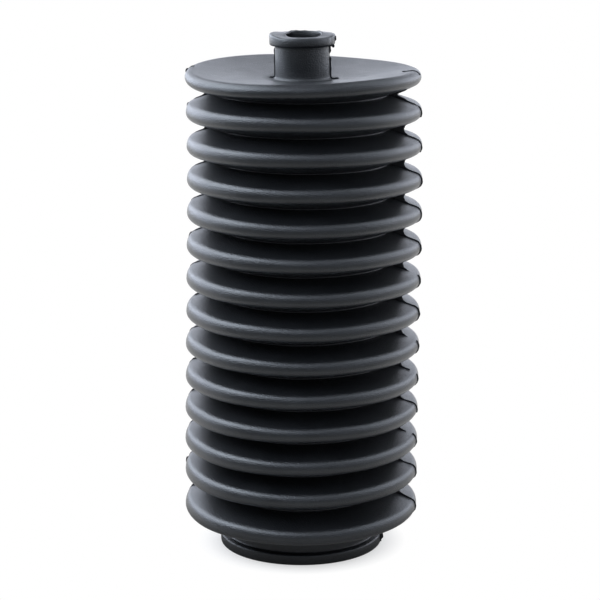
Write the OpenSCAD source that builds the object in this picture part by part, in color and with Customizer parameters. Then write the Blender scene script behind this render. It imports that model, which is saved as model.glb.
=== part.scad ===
// Steering rack boot: one hollow rubber moulding that keeps dirt and water off a steering rack.
// It stands on its wide collar. The narrow neck at the top grips the tie rod, the collar below
// grips the rack housing, and the folds between them let the boot stretch and shorten.
// Everything is turned from one closed outline of the rubber's section. The outline is a chain
// of circles: a line runs round each circle in turn and touches it, so every wall is straight
// and every bend is a true round. All sizes are in millimetres.

/* [Folds] */

// number of folds between the collar and the neck
fold_count = 14; // [6:1:18]
// diameter over the folds, which is also the widest size of the boot
fold_outer_d = 74.6; // [70:0.1:84]
// diameter at the bottom of the grooves between the folds, measured outside
fold_root_d = 54.4; // [48:0.2:58]
// outer radius of the rounded rim of a fold
fold_nose_r = 2.3; // [1.9:0.05:2.5]
// radius at the bottom of a groove, measured outside
fold_root_r = 0.5; // [0.3:0.05:1.5]
// distance from the top fold to the next one, rim to rim
fold_pitch = 10.88; // [9.6:0.02:13]
// how much each gap is closed more than the gap above it, by the boot's own weight
fold_sag = 0.045; // [0:0.005:0.06]
// distance from the lowest fold to the next one, which is a little wider than the rest
foot_pitch = 11.65; // [10:0.05:14]
// thickness of the rubber in the folds
fold_wall = 1.6; // [1.2:0.05:1.8]

/* [Neck] */

// bore of the narrow end, which is stretched over the tie rod
neck_bore_d = 12; // [8:0.1:14]
// thickness of the rubber round that bore, where the clip sits
neck_wall = 2.7; // [2:0.05:4]
// length of the clip's seat, from the top face to the lip
neck_seat_len = 10.7; // [6:0.1:16]
// how far the lip that keeps the clip on stands out from its seat
neck_lip_step = 1.7; // [1.2:0.05:3]
// height of that lip
neck_lip_h = 3.35; // [2.4:0.05:6]
// thickness of the top face where it meets the neck
neck_face_wall = 2; // [1.6:0.1:3]
// how far the top face falls from its rim to the neck
neck_dish = 3; // [1.5:0.1:4]
// round at the foot of the neck
neck_fillet_r = 1; // [0.5:0.1:1.8]

/* [Collar] */

// bore of the wide end, which is pushed over the rack housing
collar_bore_d = 43; // [38:0.1:45]
// thickness of the rubber round that bore, where the clamp sits
collar_wall = 2.5; // [2:0.05:3]
// how far the lip that keeps the clamp on stands out from its seat
collar_lip_step = 2; // [1.5:0.05:3]
// height of that lip
collar_lip_h = 3.4; // [2:0.1:5]
// width of the clamp's seat, from the lip to the shoulder of the lowest fold
collar_seat_len = 5.4; // [4:0.1:12]
// height of the lowest fold's rim above that shoulder
collar_shoulder_h = 3.4; // [3:0.1:5]

/* [Edges] */

// round on the outer corners of both lips
lip_edge_r = 0.6; // [0.2:0.05:0.9]
// round in the corners of both clip seats
seat_edge_r = 0.5; // [0.2:0.05:0.6]
// round where a bore opens to the outside
bore_edge_r = 0.5; // [0.2:0.05:0.9]
// round where a bore opens into the hollow
hollow_edge_r = 1.2; // [0.4:0.1:1.4]

/* [Hidden] */

// most that a drawn bend may stray from the true round
bend_tol = 0.03;
// sides of the turned body as it is shown on screen
turn_sides = 144;
rubber = [0.09, 0.1, 0.12];

// widths and heights that follow from the sizes above, as radii from the axis and heights above the floor
nose_x = fold_outer_d / 2 - fold_nose_r;
root_x = fold_root_d / 2 + fold_root_r;
neck_bore_x = neck_bore_d / 2;
neck_seat_x = neck_bore_x + neck_wall;
neck_lip_x = neck_seat_x + neck_lip_step;
collar_bore_x = collar_bore_d / 2;
collar_seat_x = collar_bore_x + collar_wall;
collar_lip_x = collar_seat_x + collar_lip_step;
shoulder_z = collar_lip_h + collar_seat_len;
lowest_z = shoulder_z + collar_shoulder_h;
highest_z = fold_z(fold_count - 1);
face_z = highest_z + fold_nose_r - neck_dish;
lip_z = face_z + neck_seat_len;
top_z = lip_z + neck_lip_h;

// height of a fold's rim, counted from the lowest fold, which is number 0
function fold_z(n) = n == 0
    ? lowest_z
    : lowest_z + foot_pitch + (n - 1) * gap_above_foot() + fold_sag * (n - 1) * (n - 2) / 2;

// the gap just above the lowest two folds, which carries the most weight
function gap_above_foot() = fold_pitch - fold_sag * (fold_count - 3);

// middle height of the groove above a fold
function root_z(n) = (fold_z(n) + fold_z(n + 1)) / 2;

// A bend is [x, z, r]: the circle's middle and its radius. The outline goes round the rubber
// anticlockwise, so a bend with a positive radius is an outside corner and one with a negative
// radius is an inside corner.

// the collar outside, from the floor to the shoulder under the lowest fold
collar_outside = [
    [collar_lip_x - lip_edge_r, lip_edge_r, lip_edge_r],
    [collar_lip_x - lip_edge_r, collar_lip_h - lip_edge_r, lip_edge_r],
    [collar_seat_x + seat_edge_r, collar_lip_h + seat_edge_r, -seat_edge_r],
    [collar_seat_x + seat_edge_r, shoulder_z - seat_edge_r, -seat_edge_r]
];

// the folds outside, upwards: rim, groove, rim and so on
folds_outside = [
    for (n = [0 : 2 * fold_count - 2])
        n % 2 == 0
            ? [nose_x, fold_z(n / 2), fold_nose_r]
            : [root_x, root_z((n - 1) / 2), -fold_root_r]
];

// the neck, up its outside and over the lip into the bore
neck_bends = [
    [neck_seat_x + neck_fillet_r, face_z + neck_fillet_r, -neck_fillet_r],
    [neck_seat_x + seat_edge_r, lip_z - seat_edge_r, -seat_edge_r],
    [neck_lip_x - lip_edge_r, lip_z + lip_edge_r, lip_edge_r],
    [neck_lip_x - lip_edge_r, top_z - lip_edge_r, lip_edge_r],
    [neck_bore_x + bore_edge_r, top_z - bore_edge_r, bore_edge_r],
    [neck_bore_x + hollow_edge_r, face_z - neck_face_wall + hollow_edge_r, hollow_edge_r]
];

// the folds inside, downwards, round the same middles with the wall taken off or added
folds_inside = [
    for (n = [2 * fold_count - 2 : -1 : 0])
        n % 2 == 0
            ? [nose_x, fold_z(n / 2), fold_wall - fold_nose_r]
            : [root_x, root_z((n - 1) / 2), fold_root_r + fold_wall]
];

// the collar inside, down its bore to the floor
collar_inside = [
    [collar_bore_x + hollow_edge_r, shoulder_z + fold_wall - hollow_edge_r, hollow_edge_r],
    [collar_bore_x + bore_edge_r, bore_edge_r, bore_edge_r]
];

boot_bends = concat(collar_outside, folds_outside, neck_bends, folds_inside, collar_inside);

// direction of the line that touches bend a and then bend b
function touch_angle(a, b) =
    let (dx = b.x - a.x, dz = b.y - a.y, dr = b[2] - a[2])
        atan2(dz, dx) - atan2(dr, sqrt(dx * dx + dz * dz - dr * dr));

// how far the outline turns at a bend, left for an outside corner and right for an inside one
function turn_of(r, angle_in, angle_out) =
    let (left = (angle_out - angle_in) % 360, full = left < 0 ? left + 360 : left)
        r > 0 ? full : full - 360;

// number of straight pieces that a bend is drawn with
function bend_steps(r, turn) = ceil(abs(turn) / (2 * acos(1 - bend_tol / max(abs(r), 2 * bend_tol))));

// the points round one bend, between the line that comes in and the line that goes out
function bend_points(before, bend, after) =
    let (
        angle_in = touch_angle(before, bend),
        turn = turn_of(bend[2], angle_in, touch_angle(bend, after)),
        steps = max(1, bend_steps(bend[2], turn))
    ) [
        for (i = [0 : steps])
            let (a = angle_in + turn * i / steps)
                [bend.x + bend[2] * sin(a), bend.y - bend[2] * cos(a)]
    ];

// the closed outline of a ring of bends
function outline(bends) =
    let (count = len(bends)) [
        for (i = [0 : count - 1], p = bend_points(bends[(i + count - 1) % count], bends[i], bends[(i + 1) % count]))
            p
    ];

// the whole boot, turned round its axis
module rack_boot() {
    color(rubber)
        rotate_extrude($fn = turn_sides)
            polygon(outline(boot_bends));
}

rack_boot();
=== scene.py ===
# The looks of a steering rack boot: one black rubber bellows that stands on its wide collar.
# The order is that of the work: where it is seen from, the moulding, what the mould left on it,
# and the table and the light that it stands in.
import math

import bpy
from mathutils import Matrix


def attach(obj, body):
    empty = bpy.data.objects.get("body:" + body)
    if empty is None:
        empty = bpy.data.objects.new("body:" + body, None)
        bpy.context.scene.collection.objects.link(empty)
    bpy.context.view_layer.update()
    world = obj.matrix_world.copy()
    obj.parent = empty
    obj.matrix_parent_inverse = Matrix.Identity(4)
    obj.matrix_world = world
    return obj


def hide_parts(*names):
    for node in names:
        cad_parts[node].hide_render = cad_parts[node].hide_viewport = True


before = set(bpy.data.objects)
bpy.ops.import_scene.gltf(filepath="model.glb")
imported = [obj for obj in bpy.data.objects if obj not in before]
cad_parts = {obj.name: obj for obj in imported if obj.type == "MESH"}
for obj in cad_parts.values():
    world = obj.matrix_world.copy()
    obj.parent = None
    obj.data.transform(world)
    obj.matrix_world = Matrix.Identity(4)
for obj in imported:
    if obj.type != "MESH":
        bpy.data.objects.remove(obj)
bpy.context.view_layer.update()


# The view: a long lens in front of the boot, a little above its neck and tilted down, with the
# lens shifted so that the boot fills the frame from top to foot. All lengths are in metres.
mm = 0.001
frame_px = 600
lens_px = 2102
axis_row_px = 142.3
camera_back = 657.8 * mm
camera_side = -0.35 * mm
camera_up = 229.1 * mm
camera_pitch = math.radians(8.54)

camera_data = bpy.data.cameras.new("camera")
camera_data.sensor_width = 36
camera_data.lens = camera_data.sensor_width * lens_px / frame_px
camera_data.shift_y = (axis_row_px - frame_px / 2) / frame_px
camera_data.clip_start = 10 * mm
camera_data.clip_end = 20
camera = bpy.data.objects.new("camera", camera_data)
camera.location = (camera_side, -camera_back, camera_up)
camera.rotation_euler = (math.pi / 2 - camera_pitch, 0, 0)
bpy.context.scene.collection.objects.link(camera)
bpy.context.scene.camera = camera


# The boot: one hollow rubber moulding, turned from one section as its mould is. The section is a
# chain of circles with touching lines between them: collar, folds, neck, and back down inside.
# Soft rubber never stands quite true, so the turned body bows, and its thin top face is warped.
fold_count = 14
fold_radius = 37.3 * mm
fold_root = 27.2 * mm
fold_nose = 2.3 * mm
root_bend = 0.5 * mm
fold_pitch = 10.88 * mm
fold_sag = 0.045 * mm
foot_pitch = 11.65 * mm
fold_wall = 1.6 * mm
neck_bore = 6 * mm
neck_seat = 8.7 * mm
neck_lip = 10.4 * mm
neck_seat_length = 10.7 * mm
neck_lip_height = 3.35 * mm
neck_face_wall = 2 * mm
neck_dish = 3 * mm
neck_fillet = 1 * mm
collar_bore = 21.5 * mm
collar_seat = 24 * mm
collar_lip = 26 * mm
collar_lip_height = 3.4 * mm
collar_seat_length = 5.4 * mm
collar_shoulder = 3.4 * mm
lip_edge = 0.6 * mm
seat_edge = 0.5 * mm
bore_edge = 0.5 * mm
hollow_edge = 1.2 * mm

shoulder_z = collar_lip_height + collar_seat_length
gap_above_foot = fold_pitch - fold_sag * (fold_count - 3)


def fold_z(number):
    """Height of a fold's rim; the lowest fold is number 0."""
    lowest = shoulder_z + collar_shoulder
    if number == 0:
        return lowest
    above = number - 1
    return lowest + foot_pitch + above * gap_above_foot + fold_sag * above * (above - 1) / 2


def touching_angle(a, b):
    """Direction of the line that touches circle a and then circle b, both (x, z, radius)."""
    apart = math.hypot(b[0] - a[0], b[1] - a[1])
    return math.atan2(b[1] - a[1], b[0] - a[0]) - math.asin((b[2] - a[2]) / apart)


def walk_round(circles):
    """Points of the outline round a chain of circles, each (x, z, radius, steps), without its two
    ends. A positive radius is an outside corner and a negative one is an inside corner."""
    points = []
    for before, here, after in zip(circles, circles[1:], circles[2:]):
        x, z, radius, steps = here
        turn_in = touching_angle(before, here)
        turn = (touching_angle(here, after) - turn_in) % math.tau
        if radius < 0:
            turn -= math.tau
        for k in range(steps + 1):
            angle = turn_in + turn * k / steps
            points.append((x + radius * math.sin(angle), z - radius * math.cos(angle)))
    return points


def fold_circles(depth, nose_steps, root_steps):
    """The circles of all folds, upwards, for the surface that lies this deep in the rubber."""
    circles = []
    for number in range(fold_count):
        circles.append((fold_radius - fold_nose, fold_z(number), fold_nose - depth, nose_steps))
        if number < fold_count - 1:
            groove_z = (fold_z(number) + fold_z(number + 1)) / 2
            circles.append((fold_root + root_bend, groove_z, -root_bend - depth, root_steps))
    return circles


top_fold_z = fold_z(fold_count - 1)
face_z = top_fold_z + fold_nose - neck_dish
lip_z = face_z + neck_seat_length
top_z = lip_z + neck_lip_height

collar_outside = [
    (collar_lip - lip_edge, lip_edge, lip_edge, 3),
    (collar_lip - lip_edge, collar_lip_height - lip_edge, lip_edge, 3),
    (collar_seat + seat_edge, collar_lip_height + seat_edge, -seat_edge, 3),
    (collar_seat + seat_edge, shoulder_z - seat_edge, -seat_edge, 3),
]
neck_outside = [
    (neck_seat + neck_fillet, face_z + neck_fillet, -neck_fillet, 4),
    (neck_seat + seat_edge, lip_z - seat_edge, -seat_edge, 3),
    (neck_lip - lip_edge, lip_z + lip_edge, lip_edge, 3),
    (neck_lip - lip_edge, top_z - lip_edge, lip_edge, 3),
]
neck_inside = [
    (neck_bore + bore_edge, top_z - bore_edge, bore_edge, 3),
    (neck_bore + hollow_edge, face_z - neck_face_wall + hollow_edge, hollow_edge, 4),
]
folds_inside = [
    (x, z, -radius, steps) for x, z, radius, steps in reversed(fold_circles(fold_wall, 4, 5))
]
collar_inside = [
    (collar_bore + hollow_edge, shoulder_z + fold_wall - hollow_edge, hollow_edge, 4),
    (collar_bore + bore_edge, bore_edge, bore_edge, 3),
]
boot_outside = collar_outside + fold_circles(0, 10, 4) + neck_outside
boot_section = boot_outside + neck_inside + folds_inside + collar_inside
section_points = walk_round(boot_section[-1:] + boot_section + boot_section[:1])


def add_node(tree, kind, links=None, **settings):
    """A node with its settings, and its inputs linked or set by name or place."""
    node = tree.nodes.new(kind)
    for name, value in settings.items():
        setattr(node, name, value)
    for name, value in (links or {}).items():
        if isinstance(value, bpy.types.NodeSocket):
            tree.links.new(value, node.inputs[name])
        else:
            node.inputs[name].default_value = value
    return node


def calculate(tree, operation, first, *others):
    """A value worked out from one value, or from the first and each of the others in turn."""
    if not others:
        return add_node(tree, "ShaderNodeMath", {0: first}, operation=operation).outputs[0]
    for value in others:
        first = add_node(tree, "ShaderNodeMath", {0: first, 1: value}, operation=operation).outputs[0]
    return first


def product(tree, *values):
    return calculate(tree, "MULTIPLY", *values)


def total(tree, *values):
    return calculate(tree, "ADD", *values)


def fade(tree, value, start, end, low=0.0, high=1.0, curve="LINEAR"):
    """Runs from low to high while the value runs from start to end, and stays level outside."""
    ends = {0: value, 1: start, 2: end, 3: low, 4: high}
    return add_node(tree, "ShaderNodeMapRange", ends, interpolation_type=curve).outputs[0]


def vector_math(tree, operation, first, second=None, scale=None):
    """A vector made from one or two others, or the number that it comes to."""
    links = {0: first}
    if second is not None:
        links[1] = second
    if scale is not None:
        links["Scale"] = scale
    made = add_node(tree, "ShaderNodeVectorMath", links, operation=operation).outputs
    return made["Value" if operation in ("LENGTH", "DOT_PRODUCT") else "Vector"]


def off_the_axis(tree, point):
    """The part of a point's place that lies level, from the boot's axis outwards."""
    parts = add_node(tree, "ShaderNodeSeparateXYZ", {0: point}).outputs
    return add_node(tree, "ShaderNodeCombineXYZ", {"X": parts["X"], "Y": parts["Y"]}).outputs[0]


def new_geometry_tree(name, inputs):
    """A geometry tree with its Geometry sockets and its own named inputs: name, kind, value."""
    tree = bpy.data.node_groups.new(name, "GeometryNodeTree")
    tree.interface.new_socket("Geometry", in_out="INPUT", socket_type="NodeSocketGeometry")
    tree.interface.new_socket("Geometry", in_out="OUTPUT", socket_type="NodeSocketGeometry")
    for label, kind, value in inputs:
        socket = tree.interface.new_socket(label, in_out="INPUT", socket_type="NodeSocket" + kind)
        if value is not None:
            socket.default_value = value
    return tree, tree.nodes.new("NodeGroupInput").outputs, tree.nodes.new("NodeGroupOutput").inputs


def build_slack_of_rubber():
    """How soft rubber stands: bowed to one side, its top face warped, its folds fuller on the left
    and settled near the foot, and all of it a little uneven."""
    tree, given, result = new_geometry_tree("slack_of_rubber", [
        ("Height", "Float", top_z),
        ("Bow", "Float", 0.85 * mm),
        ("Lean", "Float", 0.3 * mm),
        ("Saddle", "Float", 1.0),
        ("Nod", "Float", 0.6),
        ("Saddle From", "Float", top_fold_z - 7 * mm),
        ("Fullness", "Float", 1.1 * mm),
        ("Settled", "Float", 0.65 * mm),
        ("Sunk", "Float", 0.6 * mm),
        ("Unevenness", "Float", 0.5 * mm),
        ("Seed", "Int", 7),
    ])
    point = add_node(tree, "GeometryNodeInputPosition").outputs[0]
    x, y, z = add_node(tree, "ShaderNodeSeparateXYZ", {0: point}).outputs
    level = off_the_axis(tree, point)

    # the body bows in the middle and leans towards the neck
    share_up = calculate(tree, "POWER", calculate(tree, "DIVIDE", z, given["Height"]), 2)
    swing = calculate(tree, "SINE", product(tree, share_up, math.pi))
    bow = product(tree, swing, given["Bow"])
    sideways = total(tree, bow, product(tree, share_up, given["Lean"]))

    # the top face is bent like a saddle and nods to the front
    near_top = fade(tree, z, given["Saddle From"], top_fold_z, curve="SMOOTHSTEP")
    saddle = product(tree, x, y, -1, given["Saddle"])
    nod = product(tree, y, vector_math(tree, "LENGTH", level), given["Nod"])
    warp = product(tree, total(tree, saddle, nod), near_top)

    # the upper sides of the folds stand fuller on the left, near the parting line
    left = (math.cos(math.radians(170)), math.sin(math.radians(170)), 0)
    to_left = vector_math(tree, "DOT_PRODUCT", vector_math(tree, "NORMALIZE", level), left)
    upper_named = add_node(tree, "GeometryNodeInputNamedAttribute", {"Name": "upper"}, data_type="FLOAT")
    share_full = fade(tree, to_left, 0.0, 1.0, 0.32, 1.0)
    fuller = product(tree, share_full, upper_named.outputs[0], given["Fullness"])

    # the lowest folds have settled to the front
    low_down = fade(tree, z, 54 * mm, 12 * mm)
    off_collar = fade(tree, z, 7 * mm, 10 * mm)
    behind_axis = total(tree, y, product(tree, x, 0.3))
    to_back = total(tree, calculate(tree, "DIVIDE", behind_axis, fold_radius), 1.0)
    settled = product(tree, low_down, off_collar, to_back, given["Settled"])

    # the second fold from the top hangs on the left
    from_below = fade(tree, z, fold_z(9), fold_z(12), curve="SMOOTHSTEP")
    to_above = fade(tree, z, fold_z(12) + 3 * mm, fold_z(13) - 2 * mm, 1.0, 0.2, curve="SMOOTHSTEP")
    left_half = calculate(tree, "MAXIMUM", to_left, 0.0)
    hanging = product(tree, from_below, to_above, left_half, given["Sunk"])
    upwards = calculate(tree, "SUBTRACT", total(tree, warp, fuller, settled), hanging)

    # all of it wanders a little, apart from the foot, which stands flat
    drift = add_node(tree, "ShaderNodeTexNoise", {
        "Vector": point, "W": given["Seed"], "Scale": 42.0, "Detail": 0.0,
    }, noise_dimensions="4D").outputs["Color"]
    off_floor = fade(tree, z, 0.0, 12 * mm)
    either_way = vector_math(tree, "SUBTRACT", drift, (0.5, 0.5, 0.5))
    how_far = product(tree, given["Unevenness"], off_floor)
    wander = vector_math(tree, "SCALE", either_way, scale=how_far)
    leaning = add_node(tree, "ShaderNodeCombineXYZ", {"X": sideways, "Z": upwards}).outputs[0]
    moved = add_node(tree, "GeometryNodeSetPosition", {
        "Geometry": given["Geometry"], "Offset": vector_math(tree, "ADD", leaning, wander),
    })
    tree.links.new(moved.outputs[0], result["Geometry"])
    return tree


def build_hand_cut_mouth():
    """The neck's mouth, cut open by hand: a low burr round the bore, highest at the back, and a
    lip that is torn on the right, stands up a little on the left and is cut lower in front. On
    the left some rubber is left standing into the bore."""
    tree, given, result = new_geometry_tree("hand_cut_mouth", [
        ("Top", "Float", top_z),
        ("Bore", "Float", neck_bore),
        ("Burr", "Float", 0.75 * mm),
        ("Torn", "Float", 0.9 * mm),
        ("Raised", "Float", 0.45 * mm),
        ("Cut Low", "Float", 0.5 * mm),
        ("Off Centre", "Float", 1.0 * mm),
    ])
    lip_reach = 3.3 * mm
    point = add_node(tree, "GeometryNodeInputPosition").outputs[0]
    level = off_the_axis(tree, point)
    outward = vector_math(tree, "NORMALIZE", level)
    to_right, to_back, _ = add_node(tree, "ShaderNodeSeparateXYZ", {0: outward}).outputs
    height = add_node(tree, "ShaderNodeSeparateXYZ", {0: point}).outputs["Z"]
    from_top = calculate(tree, "SUBTRACT", given["Top"], height)
    from_bore = calculate(tree, "SUBTRACT", vector_math(tree, "LENGTH", level), given["Bore"])
    on_top = fade(tree, from_top, 0.3 * mm, 1.2 * mm, 1.0, 0.0)
    on_lip = fade(tree, from_top, 2.6 * mm, lip_reach, 1.0, 0.0)
    at_bore = fade(tree, from_bore, 0.6 * mm, 1.6 * mm, 1.0, 0.0)
    at_rim = fade(tree, from_bore, 1.5 * mm, 3.5 * mm)

    # up and down: the burr, the raised left and the low front
    cut_noise = add_node(tree, "ShaderNodeTexNoise", {
        "Vector": point, "W": 3.0, "Scale": 230.0, "Detail": 1.0,
    }, noise_dimensions="4D").outputs[0]
    uneven_cut = fade(tree, cut_noise, 0.35, 0.65, 0.35, 1.0)
    burr_there = fade(tree, to_back, -0.5, 0.7)
    burr = product(tree, at_bore, uneven_cut, burr_there, given["Burr"])
    far_left = fade(tree, to_right, -0.6, -0.95, curve="SMOOTHSTEP")
    raised = product(tree, far_left, at_rim, given["Raised"])
    in_front = fade(tree, to_back, 0.0, -0.8, curve="SMOOTHSTEP")
    lowered = product(tree, in_front, given["Cut Low"])
    lift = product(tree, calculate(tree, "SUBTRACT", total(tree, burr, raised), lowered), on_top)

    # in and out: the torn right end of the lip, and the rubber left standing into the bore
    tear_noise = add_node(tree, "ShaderNodeTexNoise", {
        "Vector": point, "W": 5.0, "Scale": 700.0, "Detail": 1.0,
    }, noise_dimensions="4D").outputs[0]
    torn_there = fade(tree, to_right, 0.55, 0.9)
    tear = product(tree, calculate(tree, "SUBTRACT", tear_noise, 0.45), given["Torn"])
    torn = product(tree, tear, torn_there, on_lip, at_rim)
    left_half = fade(tree, to_right, -0.3, -0.9, curve="SMOOTHSTEP")
    left_standing = product(tree, at_bore, on_top, left_half, given["Off Centre"])
    outwards = vector_math(tree, "SCALE", outward, scale=calculate(tree, "SUBTRACT", torn, left_standing))

    upwards = add_node(tree, "ShaderNodeCombineXYZ", {"Z": lift}).outputs[0]
    cut_open = add_node(tree, "GeometryNodeSetPosition", {
        "Geometry": given["Geometry"],
        "Selection": calculate(tree, "LESS_THAN", from_top, lip_reach),
        "Offset": vector_math(tree, "ADD", outwards, upwards),
    })
    tree.links.new(cut_open.outputs[0], result["Geometry"])
    return tree


spindle = 1 * mm


def build_turned_moulding(hand_cut_mouth, slack_of_rubber):
    """The whole moulding: the section is swept round a thin spindle on the boot's axis, its mouth
    is cut open, and it is left to stand as soft rubber does."""
    tree, given, result = new_geometry_tree("turned_moulding", [
        ("Columns", "Int", 180),
        ("Spindle", "Float", spindle),
        ("Rubber", "Material", None),
    ])
    section = add_node(tree, "GeometryNodeMeshToCurve", {"Mesh": given["Geometry"]}).outputs[0]
    circle = add_node(tree, "GeometryNodeCurvePrimitiveCircle", {
        "Resolution": given["Columns"], "Radius": given["Spindle"],
    }).outputs[0]
    turned = add_node(tree, "GeometryNodeCurveToMesh", {"Curve": circle, "Profile Curve": section})
    cut = add_node(tree, "GeometryNodeGroup", node_tree=hand_cut_mouth)
    tree.links.new(turned.outputs[0], cut.inputs["Geometry"])
    standing = add_node(tree, "GeometryNodeGroup", node_tree=slack_of_rubber)
    tree.links.new(cut.outputs[0], standing.inputs["Geometry"])
    smooth = add_node(tree, "GeometryNodeSetShadeSmooth", {"Geometry": standing.outputs[0]})
    real = add_node(tree, "GeometryNodeRealizeInstances", {"Geometry": smooth.outputs[0]})
    finished = add_node(tree, "GeometryNodeSetMaterial", {
        "Geometry": real.outputs[0], "Material": given["Rubber"],
    })
    tree.links.new(finished.outputs[0], result["Geometry"])
    return tree


def build_skin_from_the_mould():
    """The skin that the mould gives all its rubber: a fine grain with faint rings from the turned
    mould, a cloudy bloom, and a mask of the dull places."""
    tree = bpy.data.node_groups.new("skin_from_the_mould", "ShaderNodeTree")
    for label in ("Height", "Bloom", "Dull Places"):
        tree.interface.new_socket(label, in_out="OUTPUT", socket_type="NodeSocketFloat")
    point = add_node(tree, "ShaderNodeTexCoord").outputs["Object"]
    x, _, z = add_node(tree, "ShaderNodeSeparateXYZ", {0: point}).outputs
    radius = vector_math(tree, "LENGTH", off_the_axis(tree, point))

    grain = add_node(tree, "ShaderNodeTexNoise", {"Vector": point, "Scale": 2400.0, "Detail": 2.0})
    flattened = add_node(tree, "ShaderNodeMapping", {"Vector": point, "Scale": (60, 60, 1900)})
    rings = add_node(tree, "ShaderNodeTexNoise", {
        "Vector": flattened.outputs[0], "Scale": 1.0, "Detail": 1.0,
    })
    height = total(tree, product(tree, grain.outputs[0], 0.7), product(tree, rings.outputs[0], 0.1))
    bloom = add_node(tree, "ShaderNodeTexNoise", {
        "Vector": point, "Scale": 85.0, "Detail": 4.0, "Roughness": 0.6,
    }).outputs[0]

    # deep in the grooves, but not at their very bottom
    deep = fade(tree, radius, 35.5 * mm, fold_root, curve="SMOOTHSTEP")
    above_bottom = fade(tree, radius, 28.8 * mm, 27.8 * mm, 1.0, 0.15)
    below_face = calculate(tree, "LESS_THAN", z, face_z - neck_face_wall)
    in_groove = product(tree, deep, above_bottom, below_face)

    # round the foot of the neck
    round_neck = fade(tree, radius, 9.5 * mm, 12.5 * mm, 1.0, 0.0)
    at_face = fade(tree, z, face_z + 0.8 * mm, face_z + 3 * mm, 1.0, 0.0)
    at_neck_foot = product(tree, round_neck, at_face, 0.9)

    # where the mouth was cut, right of its middle
    at_mouth = fade(tree, z, top_z - 1.2 * mm, top_z - 0.6 * mm)
    from_left = fade(tree, x, -2.2 * mm, -0.8 * mm)
    to_right = fade(tree, x, 4 * mm, 5.4 * mm, 1.0, 0.0)
    at_cut = product(tree, from_left, to_right, at_mouth)

    dull = calculate(tree, "MAXIMUM", in_groove, at_neck_foot, at_cut)
    add_node(tree, "NodeGroupOutput", {"Height": height, "Bloom": bloom, "Dull Places": dull})
    return tree


def build_moulded_rubber(skin_from_the_mould):
    """Satin black rubber, duller deep in the grooves, with a powdery bloom that pales it where it
    is seen edge on."""
    rubber = bpy.data.materials.new("moulded_rubber")
    rubber.use_nodes = True
    tree = rubber.node_tree
    surface = tree.nodes["Principled BSDF"]
    surface.inputs["Specular IOR Level"].default_value = 0.72
    surface.inputs["Specular Tint"].default_value = (0.95, 0.98, 1.0, 1)
    surface.inputs["Sheen Weight"].default_value = 0.015
    surface.inputs["Sheen Roughness"].default_value = 0.4
    surface.inputs["Sheen Tint"].default_value = (0.85, 0.92, 1.0, 1)

    skin = add_node(tree, "ShaderNodeGroup", node_tree=skin_from_the_mould).outputs
    bloomed = fade(tree, skin["Bloom"], 0.35, 0.65)
    colour = add_node(tree, "ShaderNodeMix", {
        0: bloomed, 6: (0.0078, 0.0086, 0.0098, 1), 7: (0.011, 0.012, 0.0135, 1),
    }, data_type="RGBA")
    tree.links.new(colour.outputs[2], surface.inputs["Base Color"])
    dullness = fade(tree, skin["Dull Places"], 0.0, 1.0, 0.28, 0.5)
    roughness = total(tree, dullness, product(tree, bloomed, 0.06))
    tree.links.new(roughness, surface.inputs["Roughness"])
    bump = add_node(tree, "ShaderNodeBump", {
        "Height": skin["Height"], "Strength": 1.0, "Distance": 0.2 * mm,
    })
    tree.links.new(bump.outputs[0], surface.inputs["Normal"])
    return rubber


def upper_side(z):
    """1 on the upper side of a fold, from its rim to just over the groove above, fading to 0 at
    both ends, and 0 on the lower side."""
    past_groove = 0.7 * mm
    for number in range(fold_count - 1):
        rim = fold_z(number)
        groove = (rim + fold_z(number + 1)) / 2
        if rim < z < groove + past_groove:
            rising = math.sin(math.pi / 2 * min((z - rim) / (2.6 * mm), 1))
            falling = min((groove + past_groove - z) / (2 * past_groove), 1)
            return rising * falling
    return 0


def with_shading_points(points, gap):
    """The closed outline with a point near both ends of each long stretch, which keeps the
    shading of the flanks flat up to their bends."""
    full = []
    for (x, z), (end_x, end_z) in zip(points, points[1:] + points[:1]):
        full.append((x, z))
        length = math.hypot(end_x - x, end_z - z)
        if length > 4 * gap:
            for along in (gap / length, 1 - gap / length):
                full.append((x + (end_x - x) * along, z + (end_z - z) * along))
    return full


def new_piece(name, points, edges, faces):
    """A mesh object at the origin, in the scene."""
    mesh = bpy.data.meshes.new(name)
    mesh.from_pydata(points, edges, faces)
    piece = bpy.data.objects.new(name, mesh)
    bpy.context.scene.collection.objects.link(piece)
    return piece


def name_points(piece, label, kind, values):
    """Gives every point of a piece a value, or a place, that its tree reads by this name."""
    attribute = piece.data.attributes.new(label, kind, "POINT")
    attribute.data.foreach_set("vector" if kind == "FLOAT_VECTOR" else "value", values)


def grow(piece, tree, **values):
    """Runs a geometry tree on a piece with the given inputs and leaves it a plain mesh."""
    modifier = piece.modifiers.new("shape", "NODES")
    modifier.node_group = tree
    for item in tree.interface.items_tree:
        if item.in_out == "INPUT" and item.name in values:
            modifier[item.identifier] = values[item.name]
    evaluated = piece.evaluated_get(bpy.context.evaluated_depsgraph_get())
    mesh = bpy.data.meshes.new_from_object(evaluated)
    piece.modifiers.clear()
    piece.data = mesh


slack_of_rubber = build_slack_of_rubber()
turned_moulding = build_turned_moulding(build_hand_cut_mouth(), slack_of_rubber)
moulded_rubber = build_moulded_rubber(build_skin_from_the_mould())

# the section lies flat, nearer to its origin by the spindle that it is swept round
section_ring = with_shading_points(section_points, 0.6 * mm)
boot = new_piece(
    "rack_boot_moulding",
    [(x - spindle, -z, 0) for x, z in section_ring],
    [(i, (i + 1) % len(section_ring)) for i in range(len(section_ring))],
    [],
)
name_points(boot, "upper", "FLOAT", [upper_side(z) for x, z in section_ring])
grow(boot, turned_moulding, Rubber=moulded_rubber, Spindle=spindle)
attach(boot, "root")
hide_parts("rack_boot")


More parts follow.
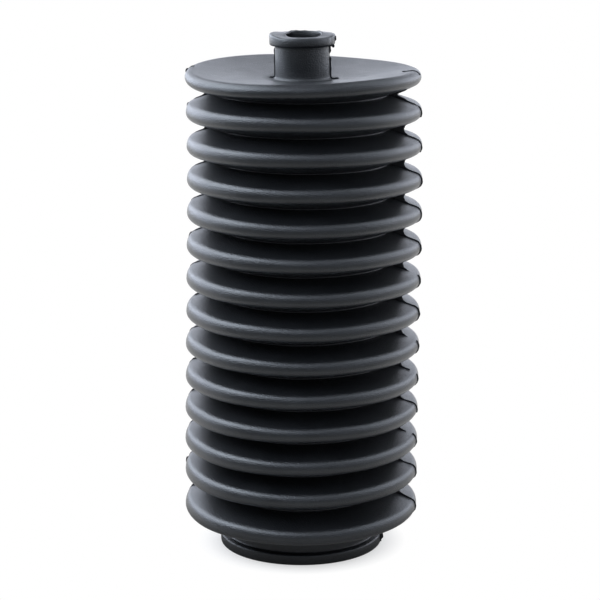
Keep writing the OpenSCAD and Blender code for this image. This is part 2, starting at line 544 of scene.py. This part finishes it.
# What the mould left on the boot: thin flash where its two halves met, from foot to neck on both
# sides. It was torn off to a fine line over the rims and stays as a ragged web in the grooves.
mould_turn = math.radians(-10)
flash_thick = 0.25 * mm
flash_sunk = 0.25 * mm
flash_least = 0.03 * mm
flash_step = 0.5 * mm
line_proud = 0.34 * mm
neck_proud = 0.45 * mm
left_thinner = 0.2 * mm
left_thinner_from = fold_radius - 5 * mm
web_radius = 31.8 * mm
web_bend = 2.1 * mm

# where it was torn off further or left wider: how far in and up from the edge of the rim of that
# fold, counted from the top, then half the length of the place and the change in width, all in mm
right_places = [
    (1, -0.6, -1.7, 2.1, -1.0), (1, -3.4, 1.9, 2.8, -0.15), (1, -15.8, 0.8, 9.6, -0.5),
    (1, -28.6, 6.9, 0.1, -1.0), (1, -26.3, 10.3, 0.3, -1.0), (1, -27.3, 9.7, 0.0, 0.5),
    (2, -2.8, 2.2, 1.8, -0.15), (2, -1.5, -2.3, 0.9, -1.0), (2, -7.3, 5.5, 1.8, -1.8),
    (3, -0.1, 0.4, 1.9, -0.05), (3, -1.6, -2.4, 0.7, -1.0), (4, -0.1, 0.4, 1.4, 0.1),
    (6, -0.1, -0.4, 1.2, 0.1), (7, -2.1, 2.7, 1.0, -1.0), (7, -0.3, 1.3, 1.2, 0.1),
    (8, 0.0, 0.0, 1.5, 0.1), (9, -2.1, 2.45, 1.0, -1.0), (10, -1.2, 2.35, 0.6, -1.0),
    (10, -2.9, 3.0, 0.5, 0.4), (11, -0.9, -2.2, 0.9, -1.0), (12, -1.95, 3.05, 0.25, -1.0),
    (14, -11.1, -9.6, 0.5, 0.6),
]
left_places = [
    (1, 0.0, 0.7, 0.2, 0.6), (1, -14.6, 0.6, 11.6, -0.5), (1, -26.9, 11.6, 2.2, -1.0),
    (2, 0.0, 0.6, 0.25, 0.5), (2, -2.5, 3.0, 2.0, -0.15), (3, -2.5, 3.0, 2.0, -0.15),
    (4, -2.5, 3.0, 2.0, -0.1), (6, 0.0, 1.2, 0.25, 0.35), (7, -3.6, 3.4, 0.6, -0.3),
    (8, -3.2, 3.5, 0.7, 0.5), (8, -0.4, 2.2, 0.6, -0.3), (10, -2.2, 3.0, 0.5, 0.25),
    (11, -2.0, 2.9, 0.5, 0.3), (13, 0.0, -0.1, 0.3, 0.8), (14, -2.0, 2.8, 0.5, 0.3),
]


def flash_edge_circles():
    """The outside of the boot with every circle grown by as much as the flash stands proud, and
    with wide, soft bends in the grooves, where the flash stays as a web."""
    circles = []
    for number, (x, z, radius, steps) in enumerate(boot_outside):
        on_neck = number >= len(boot_outside) - len(neck_outside)
        in_groove = len(collar_outside) <= number and radius < 0 and not on_neck
        if in_groove:
            circles.append((web_radius + web_bend, z, -web_bend, steps))
        else:
            circles.append((x, z, radius + (neck_proud if on_neck else line_proud), steps))
    return circles


def left_of_flash(root, edge, side, places):
    """The share of the flash's width that is left between its root and its edge. A place acts in
    full to 0.3 mm past its ends and fades out over the next half millimetre."""
    width = math.dist(root, edge)
    left = width
    if side < 0 and edge[0] > left_thinner_from:
        left -= left_thinner
    for fold, inward, upward, half_length, change in places:
        centre = (fold_radius + inward * mm, fold_z(fold_count - fold) + upward * mm)
        past_place = math.dist(edge, centre) - (half_length + 0.3) * mm
        left += change * mm * min(1, max(0, 1 - past_place / (0.5 * mm)))
    return max(left, flash_least) / width


# two lines run up the boot, the flash's root just under the skin and its edge
far_below = [(collar_bore, -50 * mm, lip_edge, 1)]
far_above = [(neck_bore, top_z + 50 * mm, lip_edge, 1)]
root_circles = [(x, z, radius - flash_sunk, steps) for x, z, radius, steps in boot_outside]
root_points = walk_round(far_below + root_circles + far_above)
edge_points = walk_round(far_below + flash_edge_circles() + far_above)

# a strip of faces runs between them on each side, cut into short steps
flash_points, flash_faces, flash_roots = [], [], []
for side, places in ((1, right_places), (-1, left_places)):
    first_point = len(flash_points)
    rungs = list(zip(root_points, edge_points))
    for (root, edge), (next_root, next_edge) in zip(rungs, rungs[1:] + rungs[-1:]):
        steps = max(1, math.ceil(math.dist(edge, next_edge) / flash_step))
        for k in range(steps):
            root_x, root_z = (a + (b - a) * k / steps for a, b in zip(root, next_root))
            edge_x, edge_z = (a + (b - a) * k / steps for a, b in zip(edge, next_edge))
            left = left_of_flash((root_x, root_z), (edge_x, edge_z), side, places)
            tip = (side * (root_x + (edge_x - root_x) * left), root_z + (edge_z - root_z) * left, 0)
            flash_points += [(side * root_x, root_z, 0), tip]
            flash_roots += [(side * root_x, root_z, 0)] * 2
    for k in range(first_point, len(flash_points) - 3, 2):
        face = (k, k + 1, k + 3, k + 2)
        flash_faces.append(face if side > 0 else face[::-1])


def build_flash_sheets(slack_of_rubber):
    """Sheets of flash with a ragged edge, drawn flat, thickened, stood up in the parting plane and
    moved as the boot under them is."""
    tree, given, result = new_geometry_tree("flash_sheets", [
        ("Turn", "Float", mould_turn),
        ("Thickness", "Float", flash_thick),
        ("Raggedness", "Float", 0.4 * mm),
        ("Rubber", "Material", None),
    ])
    point = add_node(tree, "GeometryNodeInputPosition").outputs[0]
    root = add_node(tree, "GeometryNodeInputNamedAttribute", {"Name": "root"}, data_type="FLOAT_VECTOR")
    root = root.outputs[0]
    across = vector_math(tree, "SUBTRACT", point, root)
    width = vector_math(tree, "LENGTH", across)
    noise = add_node(tree, "ShaderNodeTexNoise", {"Vector": point, "Scale": 900.0, "Detail": 2.0})
    tear = product(tree, calculate(tree, "SUBTRACT", noise.outputs[0], 0.5), given["Raggedness"])
    is_edge = calculate(tree, "GREATER_THAN", width, 0.1 * mm)
    torn_width = calculate(tree, "MAXIMUM", total(tree, width, product(tree, tear, is_edge)), 0.0)
    torn_edge = vector_math(tree, "SCALE", vector_math(tree, "NORMALIZE", across), scale=torn_width)
    ragged = add_node(tree, "GeometryNodeSetPosition", {
        "Geometry": given["Geometry"], "Position": vector_math(tree, "ADD", root, torn_edge),
    }).outputs[0]

    front = add_node(tree, "GeometryNodeExtrudeMesh", {
        "Mesh": ragged, "Offset Scale": given["Thickness"], "Individual": False,
    }).outputs[0]
    back = add_node(tree, "GeometryNodeFlipFaces", {"Mesh": ragged}).outputs[0]
    both_faces = add_node(tree, "GeometryNodeJoinGeometry")
    tree.links.new(front, both_faces.inputs[0])
    tree.links.new(back, both_faces.inputs[0])
    sheet = add_node(tree, "GeometryNodeMergeByDistance", {
        "Geometry": both_faces.outputs[0], "Distance": 0.001 * mm,
    })

    half_back = add_node(tree, "ShaderNodeCombineXYZ", {"Z": product(tree, given["Thickness"], -0.5)})
    centred = add_node(tree, "GeometryNodeTransform", {
        "Geometry": sheet.outputs[0], "Translation": half_back.outputs[0],
    })
    upright = add_node(tree, "ShaderNodeCombineXYZ", {"X": math.pi / 2, "Z": given["Turn"]})
    stood = add_node(tree, "GeometryNodeTransform", {
        "Geometry": centred.outputs[0], "Rotation": upright.outputs[0],
    })
    standing = add_node(tree, "GeometryNodeGroup", node_tree=slack_of_rubber)
    tree.links.new(stood.outputs[0], standing.inputs["Geometry"])
    real = add_node(tree, "GeometryNodeRealizeInstances", {"Geometry": standing.outputs[0]})
    finished = add_node(tree, "GeometryNodeSetMaterial", {
        "Geometry": real.outputs[0], "Material": given["Rubber"],
    })
    tree.links.new(finished.outputs[0], result["Geometry"])
    return tree


flash = new_piece("mould_flash", flash_points, [], flash_faces)
name_points(flash, "root", "FLOAT_VECTOR", [value for root in flash_roots for value in root])
name_points(flash, "upper", "FLOAT", [upper_side(z) for x, z, _ in flash_points])
grow(flash, build_flash_sheets(slack_of_rubber), Rubber=moulded_rubber)
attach(flash, "root")


# The table: a plain white sheet. The camera sees it white, with the boot's shadow close to its
# foot. The rubber mirrors a glow with painted light and shade: white behind, grey in front, and a painted
# shadow near the foot.
def build_white_table():
    white = bpy.data.materials.new("white_table")
    white.use_nodes = True
    tree = white.node_tree
    tree.nodes.clear()
    point = add_node(tree, "ShaderNodeTexCoord").outputs["Object"]
    away = vector_math(tree, "LENGTH", point)
    forward = add_node(tree, "ShaderNodeSeparateXYZ", {0: point}).outputs["Y"]
    # painted shade and light in what the rubber mirrors: a painted shadow darkens it near the foot, and
    # painted room light makes it greyer in front than behind
    out_of_painted_shade = fade(tree, away, 24 * mm, 95 * mm, 0.1, 1.0)
    in_front = fade(tree, away, 60 * mm, 300 * mm, 0.6, 0.3)
    is_behind = fade(tree, forward, -80 * mm, 10 * mm)
    lit_by_room = add_node(tree, "ShaderNodeMix", {0: is_behind, 2: in_front, 3: 1.0}).outputs[0]
    painted_gloss_light = product(tree, out_of_painted_shade, lit_by_room)

    ray = add_node(tree, "ShaderNodeLightPath").outputs
    mirrored = calculate(tree, "MAXIMUM", ray["Is Glossy Ray"], ray["Is Transmission Ray"])
    brightness = add_node(tree, "ShaderNodeMix", {0: mirrored, 2: 1.0, 3: painted_gloss_light}).outputs[0]
    glow = add_node(tree, "ShaderNodeEmission", {"Color": (1, 1, 1, 1), "Strength": brightness})
    paint = add_node(tree, "ShaderNodeBsdfDiffuse", {"Color": (0.9, 0.9, 0.9, 1)})
    in_view = product(tree, ray["Is Camera Ray"], fade(tree, away, 24 * mm, 34 * mm, 0.5, 1.0))
    seen = add_node(tree, "ShaderNodeMixShader", {
        0: total(tree, in_view, mirrored), 1: paint.outputs[0], 2: glow.outputs[0],
    })
    add_node(tree, "ShaderNodeOutputMaterial", {"Surface": seen.outputs[0]})
    return white


table_reach = 4
table = new_piece(
    "table",
    [(x * table_reach, y * table_reach, 0) for x, y in ((-1, -1), (1, -1), (1, 1), (-1, 1))],
    [],
    [(0, 1, 2, 3)],
)
table.data.materials.append(build_white_table())


# The room: a white wall behind, which ends below a pale ceiling with a darker middle, and dim
# walls in front and at the sides. The camera itself sees plain white.
room = bpy.data.worlds.new("room")
room.use_nodes = True
room_tree = room.node_tree
room_tree.nodes.clear()
toward = add_node(room_tree, "ShaderNodeTexCoord").outputs["Generated"]
_, to_wall, to_ceiling = add_node(room_tree, "ShaderNodeSeparateXYZ", {0: toward}).outputs
wall_behind = fade(room_tree, to_wall, 0.1, 0.8, 0.14, 1.4, curve="SMOOTHSTEP")
wall_top = fade(room_tree, to_ceiling, 0.4, 0.48, 1.0, 0.1)
past_wall = product(room_tree, calculate(room_tree, "MAXIMUM", to_wall, 0.0), 0.6)
above_wall = calculate(room_tree, "SUBTRACT", to_ceiling, past_wall)
ceiling = fade(room_tree, above_wall, 0.45, 0.72, 0.0, 0.6, curve="SMOOTHSTEP")
overhead = fade(room_tree, to_ceiling, 0.93, 0.98, 1.0, 0.55)
room_light = calculate(
    room_tree, "MAXIMUM", product(room_tree, wall_behind, wall_top), product(room_tree, ceiling, overhead)
)
lit_room = add_node(room_tree, "ShaderNodeBackground", {
    "Color": (0.95, 1.0, 1.13, 1), "Strength": room_light,
})
white_room = add_node(room_tree, "ShaderNodeBackground", {"Color": (1, 1, 1, 1), "Strength": 1.0})
for_camera = add_node(room_tree, "ShaderNodeLightPath").outputs["Is Camera Ray"]
seen_room = add_node(room_tree, "ShaderNodeMixShader", {
    0: for_camera, 1: lit_room.outputs[0], 2: white_room.outputs[0],
})
add_node(room_tree, "ShaderNodeOutputWorld", {"Surface": seen_room.outputs[0]})
bpy.context.scene.world = room


# The lamps: nine soft boxes round the boot, the brightest on the left and the dimmest in front,
# which give each rim its bright line on top and its darker sides.
box_distance = 0.6


def add_soft_box(name, azimuth, elevation, wide, high, colour):
    """A soft box turned to the middle of the boot: where it stands, its width and height as they
    are seen from the boot, all in degrees, and how bright its face is in each colour."""
    data = bpy.data.lights.new(name, "AREA")
    data.shape = "RECTANGLE"
    data.size = 2 * box_distance * math.tan(math.radians(wide / 2))
    data.size_y = 2 * box_distance * math.tan(math.radians(high / 2))
    brightest = max(colour)
    data.energy = math.pi * data.size * data.size_y * brightest
    data.color = [part / brightest for part in colour]
    box = bpy.data.objects.new(name, data)
    turn, rise = math.radians(azimuth), math.radians(elevation)
    box.location = (
        box_distance * math.sin(turn) * math.cos(rise),
        -box_distance * math.cos(turn) * math.cos(rise),
        top_z / 2 + box_distance * math.sin(rise),
    )
    box.rotation_euler = (math.pi / 2 - rise, 0, turn)
    bpy.context.scene.collection.objects.link(box)


add_soft_box("left_box", -84, 38, 44, 32, (4.4, 4.8, 5.4))
add_soft_box("left_back_box", -126, 38, 42, 34, (2.1, 2.25, 2.5))
add_soft_box("upper_left_box", -85, 62, 90, 16, (2.1, 2.3, 2.6))
add_soft_box("low_left_box", -122, 13, 64, 22, (2.1, 2.3, 2.7))
add_soft_box("front_box", -5, 37, 60, 26, (0.62, 0.68, 0.78))
add_soft_box("low_front_box", 55, 14, 44, 24, (0.5, 0.53, 0.6))
add_soft_box("right_box", 104, 32, 56, 30, (1.5, 1.6, 1.8))
add_soft_box("upper_right_box", 100, 60, 60, 16, (1.0, 1.1, 1.2))
add_soft_box("low_right_box", 112, 12, 66, 18, (1.2, 1.25, 1.4))

bpy.context.scene.view_settings.view_transform = "Standard"
